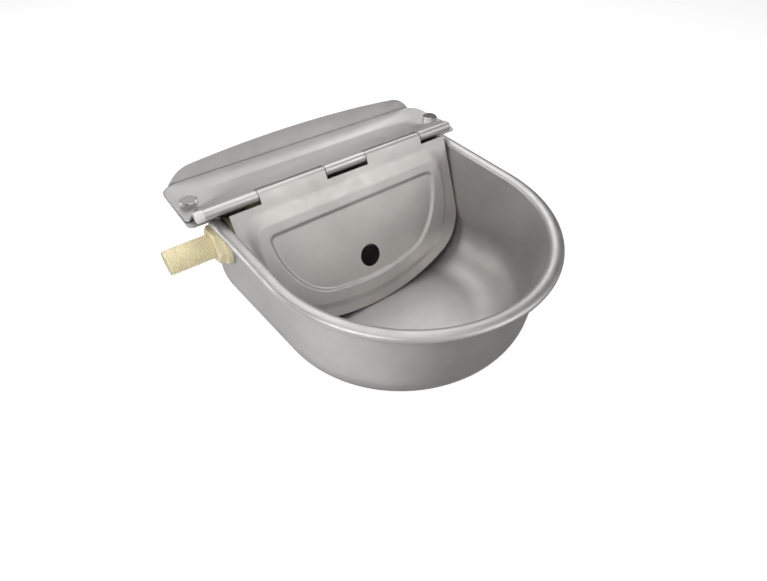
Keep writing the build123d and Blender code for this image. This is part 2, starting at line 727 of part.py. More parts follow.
nose = turned(0, pivot_below_axis)
knuckle = turned(knuckle_along, -knuckle_down)
lever_face = Plane.XZ.offset(-valve_y)
with BuildPart() as lever:
    with BuildSketch(lever_face):
        with BuildLine():
            Line((pivot_x, pivot_z), nose)
        trace(line_width=lever_neck_width)
        with Locations(nose):
            Circle(lever_nose_radius)
        with Locations((pivot_x, pivot_z)):
            Circle(lever_hub_radius)
        with BuildLine():
            Line((pivot_x, pivot_z), knuckle)
        trace(line_width=lever_arm_width)
    extrude(amount=lever_thickness / 2, both=True)
    # the far end is thinned to a disc that the float arm's fork holds
    with BuildSketch(lever_face):
        with Locations(knuckle):
            Circle(disc_radius + fork_gap)
    extrude(amount=lever_thickness, both=True, mode=Mode.SUBTRACT)
    with BuildSketch(lever_face):
        with Locations(knuckle):
            Circle(disc_radius + fork_gap)
    extrude(amount=disc_thickness / 2, both=True)
    with BuildSketch(lever_face):
        with Locations(knuckle):
            Circle(knuckle_screw_radius + knuckle_clearance)
        with Locations((pivot_x, pivot_z)):
            Circle(lever_pin_radius + knuckle_clearance)
    extrude(amount=lever_thickness, both=True, mode=Mode.SUBTRACT)
lever.part.label = "lever"
export_step(lever.part, "parts/lever.step")

# ---------------------------------------------------------------- float arm with its fork
arm_line = Vector(cos(hang), sin(hang))
float_start = knuckle + arm_line * float_from_knuckle
fork_inner = disc_thickness / 2 + fork_gap
fork_outer = fork_inner + fork_thickness
arm_slope = Vector(arm_line.X, 0, arm_line.Y)
knuckle_point = Vector(knuckle.X, valve_y, knuckle.Y)


def arm_plane(along):
    """Plane square to the float arm, at a distance from the knuckle."""
    return Plane(origin=knuckle_point + arm_slope * along, x_dir=(0, 1, 0), z_dir=arm_slope)


with BuildPart() as float_arm:
    with BuildSketch(lever_face):
        with Locations(knuckle):
            Circle(disc_radius)
        with BuildLine():
            Line(knuckle, knuckle + arm_line * arm_collar_from_knuckle)
        trace(line_width=2 * arm_radius)
    extrude(amount=fork_outer, both=True)
    with BuildSketch(lever_face):
        with Locations(knuckle):
            Circle(disc_radius + 2 * fork_gap)
    extrude(amount=fork_inner, both=True, mode=Mode.SUBTRACT)
    with BuildSketch(lever_face):
        with Locations(knuckle):
            Circle(knuckle_screw_radius)
    extrude(amount=fork_outer, both=True, mode=Mode.SUBTRACT)
    with BuildSketch(arm_plane(arm_collar_from_knuckle)):
        Circle(arm_radius)
    extrude(amount=float_from_knuckle + float_socket_depth - arm_collar_from_knuckle)
    with BuildSketch(arm_plane(arm_collar_from_knuckle)):
        Circle(arm_collar_radius)
    extrude(amount=arm_collar_length)
float_arm.part.label = "float_arm"
export_step(float_arm.part, "parts/float_arm.step")

# ---------------------------------------------------------------- screw and nut through the knuckle
head_seat = Plane(origin=knuckle_point - Vector(0, fork_outer, 0), z_dir=(0, -1, 0))
with BuildPart() as knuckle_screw:
    with BuildSketch(head_seat):
        Circle(knuckle_screw_head_radius)
    extrude(amount=knuckle_screw_head)
    fillet(knuckle_screw.faces().sort_by(Axis.Y)[0].edges(), 0.75 * knuckle_screw_head)
    with BuildSketch(head_seat):
        Circle(knuckle_screw_radius)
    extrude(amount=-2 * fork_outer - knuckle_nut_height)
knuckle_screw.part.label = "knuckle_screw"
export_step(knuckle_screw.part, "parts/knuckle_screw.step")

nut_seat = Plane(origin=knuckle_point + Vector(0, fork_outer, 0), z_dir=(0, 1, 0))
with BuildPart() as knuckle_nut:
    with BuildSketch(nut_seat):
        RegularPolygon(radius=knuckle_nut_radius, side_count=6)
        Circle(knuckle_screw_radius, mode=Mode.SUBTRACT)
    extrude(amount=knuckle_nut_height)
knuckle_nut.part.label = "knuckle_nut"
export_step(knuckle_nut.part, "parts/knuckle_nut.step")

# ---------------------------------------------------------------- float
with BuildPart() as float_ball:
    with BuildSketch(arm_plane(float_from_knuckle)):
        Circle(float_radius)
    extrude(amount=float_length)
    fillet(float_ball.edges().filter_by(GeomType.CIRCLE), float_end_radius)
    # hollow, with a boss that the arm sticks into
    with BuildPart(mode=Mode.SUBTRACT) as hollow:
        with BuildSketch(arm_plane(float_from_knuckle + float_wall)):
            Circle(float_radius - float_wall)
        extrude(amount=float_length - 2 * float_wall)
        chamfer(hollow.edges().filter_by(GeomType.CIRCLE), float_hollow_chamfer)
        with BuildSketch(arm_plane(float_from_knuckle)):
            Circle(arm_radius + float_wall)
        extrude(amount=float_socket_depth + float_wall, mode=Mode.SUBTRACT)
    with BuildSketch(arm_plane(float_from_knuckle)):
        Circle(arm_radius)
    extrude(amount=float_socket_depth, mode=Mode.SUBTRACT)
float_ball.part.label = "float"
export_step(float_ball.part, "parts/float.step")
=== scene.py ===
"""Looks of the drinking bowl: materials, fine detail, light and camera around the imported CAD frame.

Everything is in metres and in the CAD frame: +X right, +Y into the wall, +Z up.
"""

import json
import math

import bmesh
import bpy
from mathutils import Matrix, Vector


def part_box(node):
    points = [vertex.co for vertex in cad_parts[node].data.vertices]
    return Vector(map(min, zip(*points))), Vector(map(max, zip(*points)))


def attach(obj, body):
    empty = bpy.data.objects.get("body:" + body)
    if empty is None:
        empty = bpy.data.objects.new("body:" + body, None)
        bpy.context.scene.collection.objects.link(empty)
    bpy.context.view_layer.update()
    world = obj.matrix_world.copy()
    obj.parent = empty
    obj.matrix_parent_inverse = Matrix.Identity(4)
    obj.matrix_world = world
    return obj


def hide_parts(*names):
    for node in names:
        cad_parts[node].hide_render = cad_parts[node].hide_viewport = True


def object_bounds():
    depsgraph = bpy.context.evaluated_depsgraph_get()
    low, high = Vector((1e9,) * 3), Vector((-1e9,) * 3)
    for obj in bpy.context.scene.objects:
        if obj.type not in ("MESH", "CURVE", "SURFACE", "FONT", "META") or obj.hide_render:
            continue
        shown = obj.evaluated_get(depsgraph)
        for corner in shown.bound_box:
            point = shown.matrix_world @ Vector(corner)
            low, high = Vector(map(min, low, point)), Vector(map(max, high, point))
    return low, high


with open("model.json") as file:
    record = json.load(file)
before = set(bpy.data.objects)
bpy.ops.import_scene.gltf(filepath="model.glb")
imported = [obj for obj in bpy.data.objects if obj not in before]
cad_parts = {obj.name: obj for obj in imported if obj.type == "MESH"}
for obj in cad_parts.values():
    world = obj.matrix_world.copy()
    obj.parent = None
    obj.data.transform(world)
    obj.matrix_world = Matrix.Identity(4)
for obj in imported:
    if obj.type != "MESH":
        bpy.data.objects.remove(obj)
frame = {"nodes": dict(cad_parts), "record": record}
CAD_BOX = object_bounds()
NODES = frame["nodes"]

MM = 0.001

# -------------------- camera, as the photograph was taken
IMAGE_WIDTH = 767
IMAGE_HEIGHT = 581
FOCAL_PX = 467.07
AXIS_PX = (356.36, 297.62)
CAMERA_PLACE = Vector((-0.2016, -0.3663, 0.2380))
CAMERA_BACK = Vector((-0.4104, -0.5643, 0.7164))
CAMERA_ROLL = 0.002
SENSOR = 36.0


def add_camera():
    """The camera at the photograph's place, lens and shift."""
    back = CAMERA_BACK.normalized()
    right = Vector((0, 0, 1)).cross(back).normalized()
    up = back.cross(right)
    turn = Matrix((right, up, back)).transposed()
    data = bpy.data.cameras.new("camera")
    data.sensor_width = SENSOR
    data.lens = SENSOR * FOCAL_PX / IMAGE_WIDTH
    data.shift_x = (IMAGE_WIDTH / 2 - AXIS_PX[0]) / IMAGE_WIDTH
    data.shift_y = (AXIS_PX[1] - IMAGE_HEIGHT / 2) / IMAGE_WIDTH
    data.clip_start = 0.01
    camera = bpy.data.objects.new("camera", data)
    roll = Matrix.Rotation(CAMERA_ROLL, 4, "Z")
    camera.matrix_world = Matrix.Translation(CAMERA_PLACE) @ turn.to_4x4() @ roll
    bpy.context.scene.collection.objects.link(camera)
    bpy.context.scene.camera = camera


# -------------------- materials
NOISE_LOW = 0.3      # nearly all of a noise texture's values lie between these
NOISE_HIGH = 0.7


class Graph:
    """A material's node tree with its Principled shader."""

    def __init__(self, name, **sockets):
        self.material = bpy.data.materials.new(name)
        self.material.use_nodes = True
        self.tree = self.material.node_tree
        self.shader = self.tree.nodes["Principled BSDF"]
        for socket, value in sockets.items():
            self.shader.inputs[socket.replace("_", " ")].default_value = value
        self.place = self.add("ShaderNodeTexCoord").outputs["Object"]

    def add(self, kind, **settings):
        node = self.tree.nodes.new(kind)
        for key, value in settings.items():
            setattr(node, key, value)
        return node

    def link(self, source, target):
        self.tree.links.new(source, target)

    def stretched(self, scale):
        """Object coordinates, scaled along each axis."""
        mapping = self.add("ShaderNodeMapping")
        mapping.inputs["Scale"].default_value = scale
        self.link(self.place, mapping.inputs["Vector"])
        return mapping.outputs["Vector"]

    def noise(self, size, detail=3.0, vector=None):
        """Noise whose blotches are about a size, in metres."""
        node = self.add("ShaderNodeTexNoise")
        node.inputs["Scale"].default_value = 1 / size
        node.inputs["Detail"].default_value = detail
        self.link(vector or self.place, node.inputs["Vector"])
        return node.outputs["Fac"]

    def ramp(self, source, low, high):
        """A colour ramp between two colours."""
        node = self.add("ShaderNodeValToRGB")
        node.color_ramp.elements[0].position = NOISE_LOW
        node.color_ramp.elements[0].color = low
        node.color_ramp.elements[1].position = NOISE_HIGH
        node.color_ramp.elements[1].color = high
        self.link(source, node.inputs["Fac"])
        return node.outputs["Color"]

    def spread(self, source, low, high):
        """A value between two limits."""
        node = self.add("ShaderNodeMapRange")
        node.inputs["From Min"].default_value = NOISE_LOW
        node.inputs["From Max"].default_value = NOISE_HIGH
        node.inputs["To Min"].default_value = low
        node.inputs["To Max"].default_value = high
        self.link(source, node.inputs["Value"])
        return node.outputs["Result"]

    def bump(self, source, depth):
        """Relief of a depth in metres."""
        node = self.add("ShaderNodeBump")
        node.inputs["Strength"].default_value = 1.0
        node.inputs["Distance"].default_value = depth
        self.link(source, node.inputs["Height"])
        self.link(node.outputs["Normal"], self.shader.inputs["Normal"])

    def set(self, socket, source):
        self.link(source, self.shader.inputs[socket])


def grey(value, warm=0.0):
    """A linear grey, a little warmer than neutral when asked."""
    return (value * (1 + warm), value, value * (1 - warm), 1.0)


STEEL_METALLIC = 0.85      # under 1, because the sheet looks matt
STEEL_CLOUD = 45 * MM
STEEL_DARKEST = 0.92
STEEL_LIGHTEST = 1.06
STEEL_GLOSS_PATCH = 9 * MM
STEEL_GRAIN = 0.5 * MM
STEEL_GRAIN_DEPTH = 0.006 * MM


def steel(name, shade, rough, warm=0.01, grain=(1, 1, 1)):
    """Satin stainless steel: cloudy shade, uneven gloss and a fine pressed grain."""
    g = Graph(name, Metallic=STEEL_METALLIC)
    dark, light = grey(shade * STEEL_DARKEST, warm), grey(shade * STEEL_LIGHTEST, warm)
    g.set("Base Color", g.ramp(g.noise(STEEL_CLOUD, 5.0), dark, light))
    g.set("Roughness", g.spread(g.noise(STEEL_GLOSS_PATCH, 5.0), rough - 0.04, rough + 0.05))
    g.bump(g.noise(STEEL_GRAIN, 4.0, g.stretched(grain)), STEEL_GRAIN_DEPTH)
    return g.material


PLASTIC_CLOUD = 12 * MM
PLASTIC_DARKEST = 0.92
PLASTIC_GLOSS_PATCH = 3 * MM
PLASTIC_RIPPLE = 1.2 * MM


def plastic(name, colour, rough, relief=0.01):
    """Moulded plastic with a slight unevenness, its relief in millimetres."""
    g = Graph(name)
    darker = tuple(PLASTIC_DARKEST * c for c in colour)
    g.set("Base Color", g.ramp(g.noise(PLASTIC_CLOUD, 4.0), (*darker, 1), (*colour, 1)))
    g.set("Roughness", g.spread(g.noise(PLASTIC_GLOSS_PATCH, 3.0), rough - 0.05, rough + 0.06))
    g.bump(g.noise(PLASTIC_RIPPLE, 3.0), relief * MM)
    return g.material


def make_materials():
    """A material for each of the record's slots, and two more shades of its sheet steel, painted
    lighter to stand in for light on the cover and on the plate; the cover's is also warmer in tone.
    """
    return {
        "sheet_steel": steel("sheet_steel", 0.58, 0.45, warm=0.02),
        # the cover's steel: painted lighter than the bowl's, standing in for light on its top, and
        # warmer in tone
        "cover_steel_warm_painted_lighter": steel("cover_steel_warm_painted_lighter", 0.60, 0.46, warm=0.04),
        # the plate's steel: painted lighter than the bowl's, standing in for light on its top face,
        # and a little cooler in tone
        "plate_steel_painted_lighter": steel("plate_steel_painted_lighter", 0.68, 0.43, warm=0.01),
        "pin_steel": steel("pin_steel", 0.60, 0.32, grain=(0.05, 1, 1)),
        "bolt_steel": steel("bolt_steel", 0.52, 0.20),
        "white_cap": plastic("white_cap", (0.84, 0.84, 0.82), 0.3),
        "valve_plastic": plastic("valve_plastic", (0.96, 0.87, 0.60), 0.36),
        "lever_plastic": plastic("lever_plastic", (0.93, 0.76, 0.50), 0.42),
        "float_plastic": plastic("float_plastic", (0.88, 0.89, 0.93), 0.45, 0.03),
        "black_rubber": plastic("black_rubber", (0.02, 0.02, 0.02), 0.6),
    }


MATERIALS = make_materials()
SLOT_OF = {s["node"]: s["material_slot"] for s in frame["record"]["subparts"]}
PAINTED_LIGHTER_STEEL_OF = {"cover": "cover_steel_warm_painted_lighter", "top_plate": "plate_steel_painted_lighter"}     # sheet steel painted lighter, as painted light on the cover and the plate; the cover's also warmer in tone
BODY_OF = {n: b for b, nodes in frame["record"]["behaviour"]["bodies"].items() for n in nodes}


def dress(obj, slot):
    """Gives a piece one of the materials, by its name."""
    obj.data.materials.clear()
    obj.data.materials.append(MATERIALS[slot])


for node, obj in NODES.items():
    dress(obj, SLOT_OF[node])
dress(NODES["knuckle_screw"], "lever_plastic")     # its head is cream in the photograph


# -------------------- mesh helpers
SMOOTH_ANGLE = math.radians(32)
MERGE_DISTANCE = 0.001 * MM
HEAD_ANGLE = math.radians(15)     # keeps the chamfer of a bolt's head crisp


def new_piece(name, vertices, faces):
    """A closed mesh object, smooth but for its sharp edges."""
    mesh = bpy.data.meshes.new(name)
    mesh.from_pydata([tuple(v) for v in vertices], [], faces)
    obj = bpy.data.objects.new(name, mesh)
    bpy.context.scene.collection.objects.link(obj)
    clean(obj)
    return obj


def clean(obj):
    """Merges coincident points, turns the faces outwards and sets the shading."""
    work = bmesh.new()
    work.from_mesh(obj.data)
    bmesh.ops.remove_doubles(work, verts=work.verts, dist=MERGE_DISTANCE)
    bmesh.ops.dissolve_degenerate(work, edges=work.edges, dist=MERGE_DISTANCE)
    bmesh.ops.recalc_face_normals(work, faces=work.faces)
    work.to_mesh(obj.data)
    work.free()
    obj.data.shade_smooth()
    obj.data.set_sharp_from_angle(angle=SMOOTH_ANGLE)


def copy_of(node):
    """A piece that starts from a CAD node's mesh and stands for it."""
    source = NODES[node]
    obj = bpy.data.objects.new(node + "_detailed", source.data.copy())
    bpy.context.scene.collection.objects.link(obj)
    return obj


def stand_for(obj, node):
    """Puts a finished piece in a CAD node's place, on its body and in its material."""
    # the cover and the plate get their sheet steel painted lighter, standing in for light
    dress(obj, PAINTED_LIGHTER_STEEL_OF.get(node, SLOT_OF[node]))
    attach(obj, BODY_OF[node])
    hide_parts(node)


def joined(first, others):
    """One piece out of several."""
    work = bmesh.new()
    for obj in (first, *others):
        work.from_mesh(obj.data)
    work.to_mesh(first.data)
    work.free()
    for obj in others:
        bpy.data.objects.remove(obj)
    first.data.shade_smooth()
    first.data.set_sharp_from_angle(angle=SMOOTH_ANGLE)
    return first


def mix(start, end, share):
    """A value between two others."""
    return start + (end - start) * share


def sheet_faces(rows, columns):
    """Faces of a closed sheet whose front and then back points are stored row by row."""
    count = rows * columns
    faces = []
    for side in (0, count):
        for row in range(rows - 1):
            for column in range(columns - 1):
                a = side + row * columns + column
                faces.append((a, a + 1, a + 1 + columns, a + columns))
    edge = [*range(columns)]
    edge += [row * columns + columns - 1 for row in range(1, rows)]
    edge += [(rows - 1) * columns + column for column in range(columns - 2, -1, -1)]
    edge += [row * columns for row in range(rows - 2, 0, -1)]
    for a, b in zip(edge, edge[1:] + edge[:1]):
        faces.append((a, b, b + count, a + count))
    return faces


# -------------------- threads
THREAD_STEPS = 40       # points round one turn


def thread_piece(name, place, start, end, root, crest, core, pitch):
    """A sleeve with a screw thread, from start to end along the local Z of a placing matrix.

    The flanks follow the helix exactly, and the thread runs out at both ends. Over one
    pitch the profile rises from root (0) to crest (1) and falls again, at the given places.
    """
    steps = THREAD_STEPS
    profile = (0.0, 0.12, 0.88, 1.0, 0.88, 0.12)
    places = (0.0, 0.12, 0.38, 0.50, 0.62, 0.88)
    turns = math.ceil((end - start) / pitch) + 1
    rows = turns * len(profile) + 1
    points = []
    for row in range(rows):
        turn, part = divmod(row, len(profile))
        for step in range(steps):
            along = start + pitch * (turn - 1 + places[part] + step / steps)
            along = min(max(along, start), end)
            radius = root + (crest - root) * profile[part]
            radius = min(radius, root + (along - start), root + (end - along))
            angle = 2 * math.pi * step / steps
            rim = Vector((radius * math.cos(angle), radius * math.sin(angle), along))
            points.append(place @ rim)
    faces = []
    for row in range(rows - 1):
        for step in range(steps):
            near = step + 1
            shift = 0
            if near == steps:
                near = 0
                shift = len(profile)
            a = row * steps + step
            b = (row + shift) * steps + near
            if b + steps < rows * steps:
                faces.append((a, b, b + steps, a + steps))
    last = (rows - 1) * steps
    for ring, along in ((0, start), (last, end)):
        first_inner = len(points)
        for step in range(steps):
            angle = 2 * math.pi * step / steps
            inside = Vector((core * math.cos(angle), core * math.sin(angle), along))
            points.append(place @ inside)
        for step in range(steps):
            near = (step + 1) % steps
            faces.append((ring + step, ring + near, first_inner + near, first_inner + step))
    inner = len(points) - 2 * steps
    for step in range(steps):
        near = (step + 1) % steps
        faces.append((inner + step, inner + near, inner + steps + near, inner + steps + step))
    return new_piece(name, points, faces)


def shrink(obj, axis_point, axis, low, high, beyond, radius):
    """Moves points between two places along an axis, if further out than a limit, to a radius."""
    for vertex in obj.data.vertices:
        offset = vertex.co - axis_point
        along = offset.dot(axis)
        out = offset - axis * along
        if low <= along <= high and beyond < out.length:
            vertex.co = axis_point + axis * along + out.normalized() * radius


VALVE_AXIS = Vector((0, -61.5 * MM, -2.5 * MM))
SHANK_PITCH = 25.4 / 14 * MM
SHANK_ROOT = 9.32 * MM
SHANK_CREST = 10.4775 * MM
SHANK_CORE = 8.4 * MM
SHANK_SKIN = 10 * MM       # what lies further out than this is the plain shank's skin


def facing(axis):
    """The rotation that turns local Z to an axis."""
    return Vector((0, 0, 1)).rotation_difference(axis).to_matrix().to_4x4()


def make_valve_body():
    """The valve's body with a real pipe thread on its shank."""
    body = copy_of("valve_body")
    end_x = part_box("valve_body")[0].x
    nut_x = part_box("lock_nut")[0].x
    outwards = Vector((-1, 0, 0))
    shrink(body, VALVE_AXIS, outwards, -nut_x, -end_x, SHANK_SKIN, SHANK_ROOT)
    place = Matrix.Translation(VALVE_AXIS) @ facing(outwards)
    thread = thread_piece(
        "shank_thread", place, -nut_x, -end_x, SHANK_ROOT, SHANK_CREST, SHANK_CORE, SHANK_PITCH
    )
    stand_for(joined(body, [thread]), "valve_body")


BOLT_PITCH = 1.25 * MM
BOLT_CREST = 4.0 * MM
BOLT_ROOT = 3.4 * MM
BOLT_CORE = 2.5 * MM


def make_bolt(side):
    """A plate bolt with its thread."""
    bolt = copy_of("bolt_" + side)
    low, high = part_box("bolt_" + side)
    top_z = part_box("washer_" + side)[1].z
    axis_point = Vector(((low.x + high.x) / 2, (low.y + high.y) / 2, 0))
    down = Vector((0, 0, -1))
    shrink(bolt, axis_point, down, -top_z, -low.z, BOLT_ROOT, BOLT_ROOT)
    place = Matrix.Translation(axis_point) @ Matrix.Rotation(math.pi, 4, "X")
    name = side + "_bolt_thread"
    thread = thread_piece(
        name, place, -top_z, -low.z, BOLT_ROOT, BOLT_CREST, BOLT_CORE, BOLT_PITCH
    )
    bolt = joined(bolt, [thread])
    bolt.data.set_sharp_from_angle(angle=HEAD_ANGLE)
    stand_for(bolt, "bolt_" + side)


# -------------------- cover, with its soft pressed frame
HINGE = Vector((0, -70.5 * MM, 33.2 * MM))
COVER_TILT = math.radians(26)
KNUCKLE_BORE = 3.0 * MM
COVER_SHEET = 1.2 * MM
COVER_LENGTH = 128.7 * MM
COVER_NOTCH = 6.6 * MM
FOOT_RADIUS = 215 * MM
CORNER_RADIUS = 45 * MM
FRAME_MARGIN = 10.5 * MM
FRAME_TOP = 17.5 * MM
FRAME_CORNER = 12 * MM
FRAME_HEIGHT = 1.8 * MM
PANEL_SIDE = 23.6 * MM
PANEL_FOOT = 25.2 * MM
PANEL_TOP = 32.0 * MM
PANEL_FOOT_RADIUS = 190 * MM
PANEL_CORNER = 40 * MM
PANEL_TOP_CORNER = 6 * MM
FINGER_RADIUS = 10.3 * MM
FINGER_FROM_FOOT = 45.2 * MM
KNUCKLE_INNER = 20.2 * MM
KNUCKLE_OUTER = 82.7 * MM
KNUCKLE_GAP = 0.8 * MM
KNUCKLE_WRAP = math.radians(285)
FRAME_SOFTNESS = 2.2 * MM
FRAME_TOP_SOFTNESS = 6.0 * MM
LEVEL_DOWN = 44 * MM     # rows of points are level down to here, then follow the foot
PANEL_SOFTNESS = 0.5 * MM
FACE_OUT = Vector((0, -math.cos(COVER_TILT), math.sin(COVER_TILT)))
DOWN_COVER = Vector((0, -math.sin(COVER_TILT), -math.cos(COVER_TILT)))
COVER_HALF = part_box("cover")[1].x
COVER_COLUMNS = 221
COVER_ROWS = 121
LEVEL_ROWS = 44
KNUCKLE_STEPS = 40
HOLE_SIDES = 64
HOLE_TOOL_DEPTH = 20 * MM


def on_cover(across, down, out):
    """A place given across the cover, down it from the hinge, and out from the sheet's back."""
    return HINGE + Vector((across, 0, 0)) + DOWN_COVER * down + FACE_OUT * (KNUCKLE_BORE + out)


def soft_step(value):
    """Smooth step from 0 to 1."""
    t = min(max(value, 0.0), 1.0)
    return t * t * (3 - 2 * t)


def rounded_inside(first, second, radius):
    """How far inside two edges a point is, their corner rounded."""
    if first < radius and second < radius:
        return radius - math.hypot(radius - first, radius - second)
    return min(first, second)


def inside_outline(across, down, half, top, foot, foot_radius, corner, top_corner):
    """How far inside a rounded outline with an arched foot a point is."""
    side = half - abs(across)
    under = foot_radius - math.hypot(across, down - (foot - foot_radius))
    low = rounded_inside(side, under, corner)
    high = rounded_inside(side, down - top, top_corner)
    return min(low, high)


def pressed_height(across, down):
    """Height of the frame pressed out of the sheet."""
    frame_in = inside_outline(
        across,
        down,
        COVER_HALF - FRAME_MARGIN,
        FRAME_TOP,
        COVER_LENGTH - FRAME_MARGIN,
        FOOT_RADIUS - FRAME_MARGIN,
        CORNER_RADIUS - FRAME_MARGIN,
        FRAME_CORNER,
    )
    panel_in = inside_outline(
        across,
        down,
        COVER_HALF - PANEL_SIDE,
        PANEL_TOP,
        COVER_LENGTH - PANEL_FOOT,
        PANEL_FOOT_RADIUS,
        PANEL_CORNER,
        PANEL_TOP_CORNER,
    )
    below_top = soft_step((down - FRAME_TOP) / (LEVEL_DOWN - FRAME_TOP))
    softness = mix(FRAME_TOP_SOFTNESS, FRAME_SOFTNESS, below_top)
    rise = soft_step((frame_in + softness) / (FRAME_HEIGHT + 2 * softness))
    fall = soft_step((panel_in + PANEL_SOFTNESS) / (FRAME_HEIGHT + 2 * PANEL_SOFTNESS))
    return FRAME_HEIGHT * (rise - fall)


def cover_foot(across):
    """How far down the cover reaches at a place across it: an arc, rounded into the sides."""
    arc = COVER_LENGTH - FOOT_RADIUS
    centre_x = COVER_HALF - CORNER_RADIUS
    centre_down = arc + math.sqrt((FOOT_RADIUS - CORNER_RADIUS) ** 2 - centre_x**2)
    touch_x = centre_x * FOOT_RADIUS / (FOOT_RADIUS - CORNER_RADIUS)
    if abs(across) < touch_x:
        return arc + math.sqrt(FOOT_RADIUS**2 - across**2)
    run = min(abs(across) - centre_x, CORNER_RADIUS)
    return centre_down + math.sqrt(CORNER_RADIUS**2 - run**2)


def cover_sheet_piece():
    """The cover's flat sheet with its pressed frame, as a closed sheet."""
    columns, rows = COVER_COLUMNS, COVER_ROWS
    points = []
    for out in (COVER_SHEET, 0.0):
        for row in range(rows):
            for column in range(columns):
                across = COVER_HALF * math.sin(math.pi / 2 * (2 * column / (columns - 1) - 1))
                if row < LEVEL_ROWS:
                    down = mix(COVER_NOTCH, LEVEL_DOWN, row / LEVEL_ROWS)
                else:
                    share = (row - LEVEL_ROWS) / (rows - 1 - LEVEL_ROWS)
                    down = mix(LEVEL_DOWN, cover_foot(across), share)
                points.append(on_cover(across, down, out + pressed_height(across, down)))
    return new_piece("cover_detailed", points, sheet_faces(rows, columns))


def rolled_knuckle(name, low_x, high_x, out, onward, sheet, lead):
    """A sheet rolled round the hinge pin.

    It runs onward for a lead, meets the pin on the side named by out, and curls round it.
    """
    section = []
    for radius, order in ((KNUCKLE_BORE + sheet, 1), (KNUCKLE_BORE, -1)):
        line = [HINGE + out * radius - onward * lead]
        for step in range(KNUCKLE_STEPS + 1):
            angle = KNUCKLE_WRAP * step / KNUCKLE_STEPS
            line.append(HINGE + (out * math.cos(angle) + onward * math.sin(angle)) * radius)
        section += line[::order]
    count = len(section)
    points = [Vector((x, p.y, p.z)) for x in (low_x, high_x) for p in section]
    faces = [(i, (i + 1) % count, count + (i + 1) % count, count + i) for i in range(count)]
    for end in (0, count):
        for i in range(count // 2 - 1):
            faces.append((end + i, end + i + 1, end + count - 2 - i, end + count - 1 - i))
    return new_piece(name, points, faces)


def cover_knuckle(name, low_x, high_x):
    """One rolled knuckle of the cover."""
    return rolled_knuckle(name, low_x, high_x, FACE_OUT, -DOWN_COVER, COVER_SHEET, COVER_NOTCH)


def cut_round_hole(obj, centre, axis, radius, depth):
    """Cuts a round hole through a piece."""
    bpy.ops.mesh.primitive_cylinder_add(vertices=HOLE_SIDES, radius=radius, depth=depth)
    tool = bpy.context.object
    tool.matrix_world = Matrix.Translation(centre) @ facing(axis)
    cut = obj.modifiers.new("hole", "BOOLEAN")
    cut.object = tool
    cut.operation = "DIFFERENCE"
    cut.solver = "EXACT"
    bpy.context.view_layer.update()
    shaped = obj.evaluated_get(bpy.context.evaluated_depsgraph_get())
    mesh = bpy.data.meshes.new_from_object(shaped)
    obj.modifiers.clear()
    obj.data = mesh
    bpy.data.objects.remove(tool)
    clean(obj)


def make_cover():
    """The cover: pressed sheet, finger hole and two rolled knuckles."""
    sheet = cover_sheet_piece()
    hole = on_cover(0, COVER_LENGTH - FINGER_FROM_FOOT, 0)
    cut_round_hole(sheet, hole, FACE_OUT, FINGER_RADIUS, HOLE_TOOL_DEPTH)
    low = KNUCKLE_INNER + KNUCKLE_GAP
    high = KNUCKLE_OUTER - KNUCKLE_GAP
    right = cover_knuckle("knuckle_right", low, high)
    left = cover_knuckle("knuckle_left", -high, -low)
    stand_for(joined(sheet, [right, left]), "cover")


# -------------------- hinge plate, formed from one sheet
PLATE_TOP = 24.9 * MM
PLATE_SHEET = 1.5 * MM
PLATE_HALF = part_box("top_plate")[1].x
PLATE_BACK_GAP = 0.5 * MM              # leaves a thin dark line before the upstand
PLATE_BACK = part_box("top_plate")[1].y - PLATE_BACK_GAP
BACK_CORNER = 16 * MM
FRONT_CORNER = 5 * MM
EAR_FRONT = -59.5 * MM
BEND = -24.5 * MM
BEND_SOFTNESS = 2.0 * MM
BAND_SLOPE = math.radians(15.72)
EAR_SLOPE = math.radians(1.6)
BAND_END = 4.0 * MM                   # before the band touches the knuckles' roll
PLATE_KNUCKLES = ((-126.5, -82.7), (-20.2, 20.2), (82.7, 119.7))
EAR_EDGE_AT_BEND = (70 * MM, 113 * MM)
TWIST = 2.5                           # how late the band widens towards the hinge
EAR_EDGE_AT_FRONT = 137 * MM
PLATE_HALF_COLUMNS = 90
PLATE_ROWS = 70
STEP_WIDTH = 0.02 * MM                # half of the step where the band ends
KNUCKLE_LANDING = 1.5 * MM
PLATE_UP = Vector((0, math.sin(BAND_SLOPE), math.cos(BAND_SLOPE)))
PLATE_FORWARD = Vector((0, -math.cos(BAND_SLOPE), math.sin(BAND_SLOPE)))
BAND_EDGE = HINGE + PLATE_UP * (KNUCKLE_BORE + PLATE_SHEET) - PLATE_FORWARD * BAND_END


def plate_height(x, y):
    """The plate's top face: flat at the back, the band rising to the hinge, the ears nearly flat."""
    past = BEND - y
    if past > BEND_SOFTNESS:
        run = past
    else:
        run = max(past + BEND_SOFTNESS, 0) ** 2 / (4 * BEND_SOFTNESS)
    share = min(max(past / (BEND - EAR_FRONT), 0), 1)
    knuckle_end = abs(PLATE_KNUCKLES[0][0] if x < 0 else PLATE_KNUCKLES[-1][1]) * MM
    inner = mix(EAR_EDGE_AT_BEND[0], knuckle_end - KNUCKLE_LANDING, share**TWIST)
    outer = mix(EAR_EDGE_AT_BEND[1], EAR_EDGE_AT_FRONT, share**2)
    band = 1 - soft_step((abs(x) - inner) / (outer - inner))
    return PLATE_TOP + run * mix(math.tan(EAR_SLOPE), math.tan(BAND_SLOPE), band)


def rounded_end(x, half, radius):
    """How far an outline's straight edge draws back at its rounded end."""
    into = abs(x) - (half - radius)
    return radius - math.sqrt(max(radius**2 - into**2, 0)) if into > 0 else 0.0


def plate_columns():
    """Places across the plate, closer at its rounded ends and doubled where the band ends."""
    half = PLATE_HALF_COLUMNS
    columns = [PLATE_HALF * math.sin(math.pi / 2 * i / half) for i in range(-half, half + 1)]
    for end in (PLATE_KNUCKLES[0][0] * MM, PLATE_KNUCKLES[-1][1] * MM):
        columns += [end - STEP_WIDTH, end + STEP_WIDTH]
    return sorted(columns)


